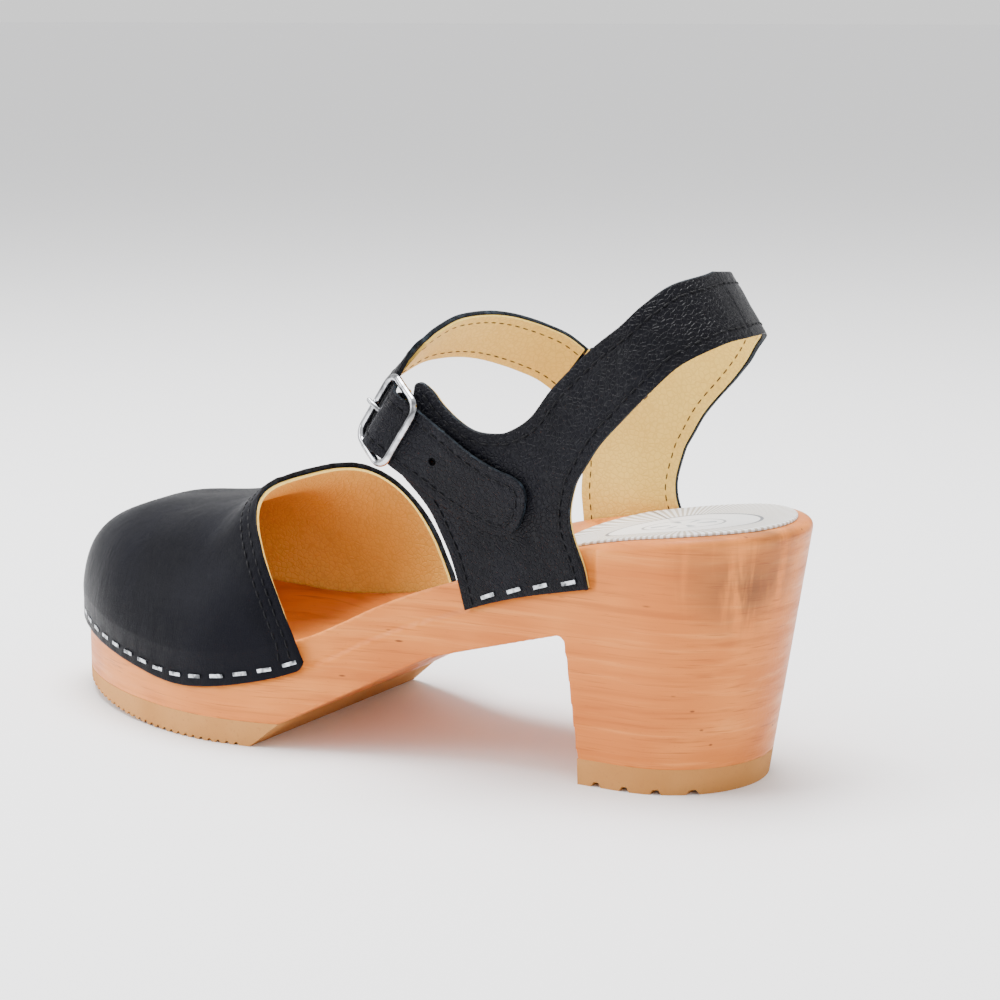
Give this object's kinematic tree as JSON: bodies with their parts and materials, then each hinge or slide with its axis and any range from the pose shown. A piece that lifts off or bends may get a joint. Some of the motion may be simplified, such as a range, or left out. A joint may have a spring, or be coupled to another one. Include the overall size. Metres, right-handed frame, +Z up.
{
  "type": "high-heeled wooden clog",
  "caption": "Left high-heeled clog: wooden block-heel sole with rubber treads, stapled closed leather toe, heel strap and an instep strap that opens at its buckle.",
  "frame": {"origin": "middle of the shoe's outer box at ground level", "axes": "+X towards the heel, +Y towards the inner side of the foot, +Z up"},
  "size_m": [0.2518, 0.095, 0.1439],
  "materials": {
    "wood": "satin lacquered alder, warm tan",
    "rubber": "matt tan sole rubber",
    "leather": "near-black leather, smooth toe and grained straps",
    "lining": "cream lining leather",
    "pad": "pale printed heel pad",
    "staple": "flat bright staple wire",
    "chrome": "polished wire"
  },
  "bodies": {
    "clog": {"buckle_tab": "leather", "front_outsole": "rubber", "heel_lift": "rubber", "heel_pad": "pad", "inner_quarter_staple_01": "staple", "inner_quarter_staple_02": "staple", "inner_quarter_staple_03": "staple", "inner_quarter_staple_04": "staple", "outer_quarter_staple_01": "staple", "outer_quarter_staple_02": "staple", "outer_quarter_staple_03": "staple", "outer_quarter_staple_04": "staple", "quarter_leather": "leather", "quarter_lining": "lining", "vamp_leather": "leather", "vamp_lining": "lining", "vamp_staple_01": "staple", "vamp_staple_02": "staple", "vamp_staple_03": "staple", "vamp_staple_04": "staple", "vamp_staple_05": "staple", "vamp_staple_06": "staple", "vamp_staple_07": "staple", "vamp_staple_08": "staple", "vamp_staple_09": "staple", "vamp_staple_10": "staple", "vamp_staple_11": "staple", "vamp_staple_12": "staple", "vamp_staple_13": "staple", "vamp_staple_14": "staple", "vamp_staple_15": "staple", "vamp_staple_16": "staple", "vamp_staple_17": "staple", "vamp_staple_18": "staple", "vamp_staple_19": "staple", "vamp_staple_20": "staple", "vamp_staple_21": "staple", "vamp_staple_22": "staple", "vamp_staple_23": "staple", "vamp_staple_24": "staple", "vamp_staple_25": "staple", "vamp_staple_26": "staple", "vamp_staple_27": "staple", "vamp_staple_28": "staple", "vamp_staple_29": "staple", "vamp_staple_30": "staple", "vamp_staple_31": "staple", "vamp_staple_32": "staple", "vamp_staple_33": "staple", "vamp_staple_34": "staple", "wood_sole": "wood"},
    "strap": {"instep_strap_leather": "leather", "instep_strap_lining": "lining", "strap_end": "leather"},
    "buckle": {"buckle_frame": "chrome"},
    "prong": {"buckle_prong": "chrome"}
  },
  "joints": [
    {"name": "strap_open", "type": "hinge", "parent": "clog", "child": "strap", "pos_m": [0.03382, 0.03622, 0.10636], "axis": [-0.6528, 0.1202, -0.7479], "range_deg": [0, 70], "deforming": ["strap_end"]},
    {"name": "buckle_frame_tilt", "type": "hinge", "parent": "clog", "child": "buckle", "pos_m": [0.01417, -0.03406, 0.09912], "axis": [-0.5433, -0.0175, -0.8393], "range_deg": [0, 40]},
    {"name": "buckle_prong_swing", "type": "hinge", "parent": "clog", "child": "prong", "pos_m": [0.01417, -0.03406, 0.09912], "axis": [0.5433, 0.0175, 0.8393], "range_deg": [0, 85]}
  ],
  "couplings": [
    {"joint": "buckle_frame_tilt", "follows": "strap_open", "ratio": 0.5},
    {"joint": "buckle_prong_swing", "follows": "strap_open", "ratio": 1.2}
  ]
}
